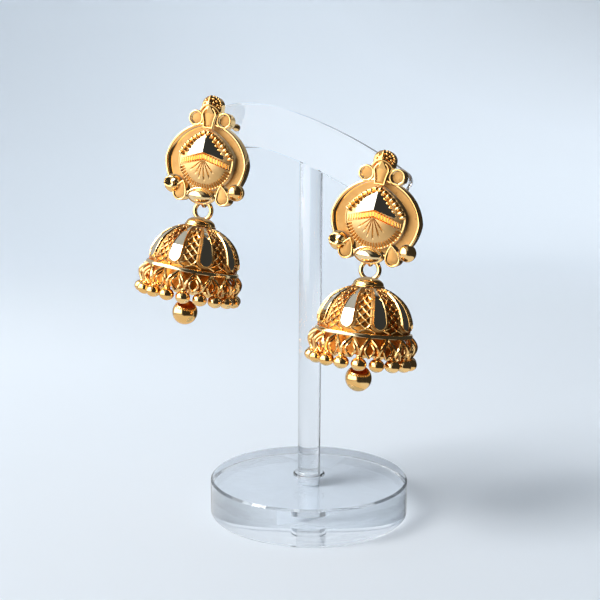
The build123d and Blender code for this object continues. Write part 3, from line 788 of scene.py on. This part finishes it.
def makeBellWall(side, place, node):
    # the wall's arc outside and in, closed under the cap; the rim is a rounded band round its foot
    foot, top = bellSize["foot"], bellSize["top"]
    rim, low, inner = rimSize["radius"], rimSize["foot"], rimSize["inner"]
    heights = np.linspace(foot + 0.02, top, 40)
    outer = np.stack(domePoint(heights, bellSize["ground"]), 1)
    hollow = np.stack(domePoint(heights[::-1], bellSize["inside"]), 1)
    hollow = hollow[hollow[:, 1] < top - 0.9]
    wall = np.concatenate([[(inner + 0.05, low + 0.1), (8.35, low + 0.1)], outer,
                           [(0.001, outer[-1, 1] + 0.15), (0.001, top - 0.8)], hollow])
    # the wall's ground between the panels takes the darker gold, painted shade in the recess
    makePiece(side + "_bell_wall", [revolve(wall, 144, loop=True)], place, shadedRecessGold,
              bodies[side], node)
    band = [(inner, low), (rim - 0.12, low), (rim - 0.03, low + 0.05), (rim, low + 0.16),
            (rim - 0.01, low + 0.4), (rim - 0.05, low + 0.56), (rim - 0.14, low + 0.68),
            (rim - 0.3, low + 0.77), (rim - 0.5, low + 0.82), (rim - 0.75, low + 0.84),
            (rim - 1.2, low + 0.84)]
    makePiece(side + "_bell_rim", [revolve(band, 192, loop=True)], place, rimGold,
              bodies[side], node)


def wrapPanels(grid):
    # a panel's grid bent round the bell once for each panel, its relief fading towards the head
    fade = 0.35 + 0.65 * np.clip((panelSize["high"] - grid[..., 1]) / 3.0, 0, 1)
    lift = np.where(grid[..., 2] > 0, grid[..., 2] * fade, grid[..., 2])
    return bellSpots(panelBearings[:, None, None], grid[None, ..., 0], grid[None, ..., 1], lift[None])


def makeBellPanels(side, place, node):
    # round each lancet a frame with a wire along its top, outside that a satin strip, inside a mirror plate
    outline, size = panelOutline(), panelSize
    edge, strip, root, lift = size["frame"], size["strip"], size["root"], size["lift"]
    inside = bellSize["inside"]
    frameRows = [(0, inside, 0), (0, lift - 0.08, 0), (-0.04, lift + 0.03, 0), (-edge * 0.5, lift + 0.06, 0),
                 (-edge * 0.9, lift + 0.02, 0), (-edge, lift - 0.06, 0), (-edge - 0.03, inside, 0)]
    stripRows = [(0, root, 0), (strip, root, 0), (strip, -0.26, 0), (strip - 0.08, -0.18, 0),
                 (0.06, -0.06, 0), (-0.04, -0.06, 0)]
    mirrorRows = [(-edge, root, 1), (-edge, root, 0)]
    mirrorRows += [(-edge, lift - 0.05, share) for share in np.linspace(0, 1, 6)]
    spine = np.stack([0 * outline[:, 0], np.clip(outline[:, 1], size["low"] + 1.1, size["high"] - 0.5)], 1)
    frames, strips, mirrors = (wrapPanels(grid) for grid in (
        bordered(outline, frameRows), bordered(outline, stripRows), bordered(outline, mirrorRows, spine)))
    makePiece(side + "_bell_frames", [skin(frames, loopRows=True, loopCols=True)], place, polishedGold,
              bodies[side], node)
    makePiece(side + "_bell_strips", [skin(strips, loopRows=True, loopCols=True)], place, satinGold,
              bodies[side], node)
    makePiece(side + "_bell_mirrors", [skin(mirrors, loopCols=True)], place, mirrorGold,
              bodies[side], node)


def makeBellLattice(side, place, node):
    # zigzag wires bouncing between neighbouring panels, three to a gap, a grain wherever they meet
    size, foot, top, ground = latticeSize, bellSize["foot"], bellSize["top"], bellSize["ground"]
    z = np.linspace(foot + 0.08, top - 0.05, 60)
    phases = np.arange(size["strands"])[:, None] / size["strands"]
    swing = np.abs(((z[None] - foot) / size["period"] + phases) % 1 * 2 - 1) * 2 - 1
    middle = (panelBearings + pi / panelSize["count"])[:, None, None]
    wires = bellSpots(middle + (swing * gapHalf(z))[None], 0.0, z, ground + 0.2)
    lattice = [tube(wires, size["wire"], unit(wires * [1, 1, 0]) + [0, 0, 0.3], 6)]
    pitch = size["period"] / (2 * size["strands"])
    crossing = np.arange(foot + pitch, top - 0.4, pitch)
    turnBy = np.where(np.arange(len(crossing)) % 2, -1, 1)
    for share in (1 / 3, -1):
        bearing = middle[..., 0] + (share * turnBy * gapHalf(crossing))[None]
        spots = bellSpots(bearing, 0.0, crossing, ground + 0.36)
        lattice.append(balls(spots.reshape(-1, 3), size["grain"], 6, 8))
    makePiece(side + "_bell_lattice", lattice, place, polishedGold, bodies[side], node)


def makeBell(side):
    place, node = bellPlace(side), [side + "_bell"]
    for make in (makeBellWall, makeBellPanels, makeBellLattice):
        make(side, place, node)


# the fringe: eighteen round beads, each hung on two bowed wires that part and sweep up to pointed arches
# below the rim; inside each arch stands a leaf of wire, before a plain skirt
fringeSize = dict(count=18, beadCircle=9.25, beadZ=-18.4, bead=1.42, beadTall=1.2, collar=(0.55, 0.55, 0.36),
                  offset=0.12, lapCircle=9.6)
archSize = dict(wire=0.29, rim=8.85, top=-13.6, bulge=1.0, lap=0.35, parting=0.15, between=0.0)
leafSize = dict(wire=0.24, rim=9.0, top=-14.3, bulge=0.7, lap=0.8, parting=1.0, between=0.5)
skirtSize = dict(radius=7.6, low=-16.9, flare=0.3, wall=0.2)


def fringeWires(low, wire, rim, top, bulge, lap, parting, between):
    # along each wire: its radius runs from the bead circle to the rim plus a bulge; sideways the pair laps
    # over the middle up to the share of its height where it parts, then sweeps out to half a pitch
    circle, count = fringeSize["beadCircle"], fringeSize["count"]
    t = np.linspace(0, 1, 30)
    z = low + (top - low) * t
    radius = circle + (rim - circle) * t + bulge * np.sin(pi * t ** 1.3) ** 0.9
    pitch = 2 * pi / count
    sway = pitch / 2 * np.clip((t - parting) / max(1 - parting, 0.01), 0, 1) ** 2.1
    sway = sway - lap / fringeSize["lapCircle"] * np.sin(pi * np.clip(t / parting, 0, 1)) ** 1.2
    bearing = ((np.arange(count) + between) * pitch)[:, None, None] + np.array([-1, 1])[:, None] * sway
    paths = np.stack(np.broadcast_arrays(radius * np.cos(bearing), radius * np.sin(bearing), z), -1)
    outward = unit(paths * [1, 1, 0])
    # one wire of a pair passes outside the other
    paths = paths + np.array([-1, 1])[:, None, None] * fringeSize["offset"] * outward
    return tube(paths, wire, outward, 8)


def makeFringe(side):
    place, node, size = bellPlace(side), [side + "_bead_fringe"], fringeSize
    low = size["beadZ"] + size["beadTall"] * 0.88
    arches, leaves = fringeWires(low, **archSize), fringeWires(low + 0.1, **leafSize)
    turn = np.arange(size["count"]) * 2 * pi / size["count"]
    circle = size["beadCircle"]
    centres = np.stack([circle * np.cos(turn), circle * np.sin(turn), size["beadZ"] + 0 * turn], 1)
    beads = balls(centres, (size["bead"], size["bead"], size["beadTall"]), 14, 22)
    collars = balls(centres + [0, 0, size["beadTall"] * 0.93], size["collar"], 6, 12)
    makePiece(side + "_fringe", [arches, leaves, beads, collars], place, polishedGold,
              bodies[side], node)
    radius, flare, wall, skirtLow = (skirtSize[key] for key in ("radius", "flare", "wall", "low"))
    skirt = [(radius - wall, archSize["top"]), (radius + flare - wall, skirtLow), (radius + flare, skirtLow),
             (radius, archSize["top"])]
    # the skirt takes the darker gold, painted shade seen through the fringe
    makePiece(side + "_fringe_skirt", [revolve(skirt, 96, loop=True)], place, shadedRecessGold,
              bodies[side], node)


# the ball below the bell, on the stem that holds it to the cap
ballSize = dict(radius=2.5, z=-22.2, stem=0.3, top=-5.85)


def makeCentreBall(side):
    # half a circle turned, running into a straight stem
    radius, z, stem, top = (ballSize[key] for key in ("radius", "z", "stem", "top"))
    rise = np.linspace(-pi / 2, pi / 2 - 0.12, 30)
    globe = np.stack([radius * np.cos(rise), z + radius * np.sin(rise)], 1)
    globe[0, 0] = 0.001
    profile = np.concatenate([globe, [(stem, z + radius + 0.05), (stem, top), (0.001, top)]])
    makePiece(side + "_centre_ball_globe", [revolve(profile, 56)], dropPlace(side), polishedGold,
              bodies[side], [side + "_centre_ball"])


for side in ("left", "right"):
    makeTray(side)
    makeCrest(side)
    makeMedallion(side)
    makeCabochon(side)
    makeCorners(side)
    makeEarPost(side)
    makeCap(side)
    makeBell(side)
    makeFringe(side)
    makeCentreBall(side)
    print(side, "earring made")


# the camera: where it stands, how it is turned, and its lens
cameraSize = dict(at=(48.183, -157.599, 62.96), heading=17.71, pitch=6.84, roll=0.34, lens=49.8)
heading, pitch, roll = (radians(cameraSize[key]) for key in ("heading", "pitch", "roll"))
forward = np.array([-sin(heading) * cos(pitch), cos(heading) * cos(pitch), -sin(pitch)])
level = np.array([cos(heading), sin(heading), 0.0])


def makeCamera():
    upright = np.cross(level, forward)
    turned = np.eye(4)
    turned[:3, 0] = level * cos(roll) + upright * sin(roll)
    turned[:3, 1] = upright * cos(roll) - level * sin(roll)
    turned[:3, 2] = -forward
    turned[:3, 3] = np.array(cameraSize["at"]) * mm
    camera = bpy.data.objects.new("camera", bpy.data.cameras.new("camera"))
    scene.collection.objects.link(camera)
    camera.matrix_world = Matrix(turned.tolist())
    camera.data.sensor_width, camera.data.lens = 36.0, cameraSize["lens"]
    camera.data.clip_start, camera.data.clip_end = 0.005, 50.0
    scene.camera = camera


makeCamera()


# the floor: a wide round table whose edge curves up into a backdrop
floorSize = dict(rings=(150.0, 400.0), flat=700.0, curve=500.0, wall=1500.0)


def floorFinish():
    # paler towards the left and the middle distance, darker where it rises on the right: painted light and
    # shade on the table and backdrop
    material, finish, shader = newMaterial("pale_floor_painted_shade", Roughness=0.9, Specular_IOR_Level=0.0)
    where = finish.signal("ShaderNodeTexCoord", output="Object")
    parts = finish.node("ShaderNodeSeparateXYZ", None, {0: where})
    x, y, z = (Signal(finish, socket) for socket in parts.outputs)
    near, deep = finish.between(y, -0.06, 0.14), finish.between(y, 0.05, 0.6)
    high, across = finish.between(z, 0.03, 0.5), finish.between(x, -0.5, 0.5)
    # painted shade: lighter further back on the table, darker near the front and up the backdrop, most up its
    # right side
    pale = near * 0.11 + deep * 0.1 - high * 0.1 - across * (high * 0.6 + 0.08) + 0.86
    cool = (0.935, 1.0, 1.065)
    tone = finish.node("ShaderNodeVectorMath", {"operation": "SCALE"}, {0: cool, "Scale": pale})
    finish.tree.links.new(tone.outputs[0], shader.inputs["Base Color"])
    return material


def makeFloor():
    # flat rings, then a quarter circle up into a straight wall, turned about the upright axis
    size = floorSize
    bend = np.linspace(0, pi / 2, 16)
    rise = np.stack([size["flat"] + size["curve"] * np.sin(bend), size["curve"] * (1 - np.cos(bend))], 1)
    profile = np.concatenate([[(0.001, 0.0)], [(ring, 0.0) for ring in size["rings"]], rise,
                              [(size["flat"] + size["curve"], size["wall"])]])
    points, faces = revolve(profile, 96)
    mesh = bpy.data.meshes.new("floor")
    mesh.from_pydata((points * mm).tolist(), [], faces[:, ::-1].tolist())
    mesh.shade_smooth()
    mesh.materials.append(floorFinish())
    floor = bpy.data.objects.new("floor", mesh)
    scene.collection.objects.link(floor)
    floor.visible_glossy = False     # the room below is what the metal mirrors
    floor.visible_shadow = False


makeFloor()


# the room: a tall softbox on the left, a grey ceiling, dark on the right, a pale table below
roomLight = dict(dark=0.04, grey=0.46, softbox=3.0, behind=0.4, table=0.8, tint=(0.97, 0.985, 1.0))


def makeRoom():
    # by a ray's shares along the camera's right, towards the camera, and up
    world = bpy.data.worlds.new("studio")
    scene.world = world
    world.use_nodes = True
    room = Finish(world.node_tree)
    ray = room.signal("ShaderNodeTexCoord", output="Generated")
    towardsCamera = (-forward[0] / cos(pitch), -forward[1] / cos(pitch), 0.0)
    u, v, w = (room.signal("ShaderNodeVectorMath", {"operation": "DOT_PRODUCT"},
                           {0: ray, 1: tuple(float(part) for part in direction)}, output="Value")
               for direction in (level, towardsCamera, (0, 0, 1)))
    softbox = (room.between(u, -0.38, -0.44) * room.between(w, 0.735, 0.72)
               * room.between(v, -0.35, -0.3) * room.between(w, -0.12, -0.08))
    overhead = room.between(w, 0.45, 0.75) * room.between(u, 0.15, -0.15)
    ceiling = room.between(u, -0.22, -0.38).atLeast(overhead)
    behind = room.between(v, -0.3, -0.55) * room.between(u, 0.5, 0.3)
    table = room.between(w + room.between(u, -0.5, 0.0) * 0.24, -0.2, -0.28)
    value = (roomLight["dark"] + ceiling * roomLight["grey"]).atLeast(behind * roomLight["behind"])
    value = value.atLeast(table * roomLight["table"]) + softbox * roomLight["softbox"]
    background = world.node_tree.nodes["Background"]
    background.inputs["Color"].default_value = colour(*roomLight["tint"])
    room.tree.links.new(value.socket, background.inputs["Strength"])


makeRoom()


# the key light: a square lamp high on the left, aimed at the middle of the base
keyLight = dict(at=(-420.0, -330.0, 520.0), size=0.32, watts=4.2)


def makeKeyLight():
    lamp = bpy.data.lights.new("key", "AREA")
    lamp.size, lamp.energy = keyLight["size"], keyLight["watts"]
    lampObject = bpy.data.objects.new("key", lamp)
    scene.collection.objects.link(lampObject)
    aim = (-Vector(keyLight["at"])).to_track_quat("-Z", "Y").to_matrix().to_4x4()
    lampObject.matrix_world = Matrix.Translation([part * mm for part in keyLight["at"]]) @ aim


makeKeyLight()

scene.view_settings.view_transform = "Standard"
print("studio set")

bpy.context.view_layer.update()
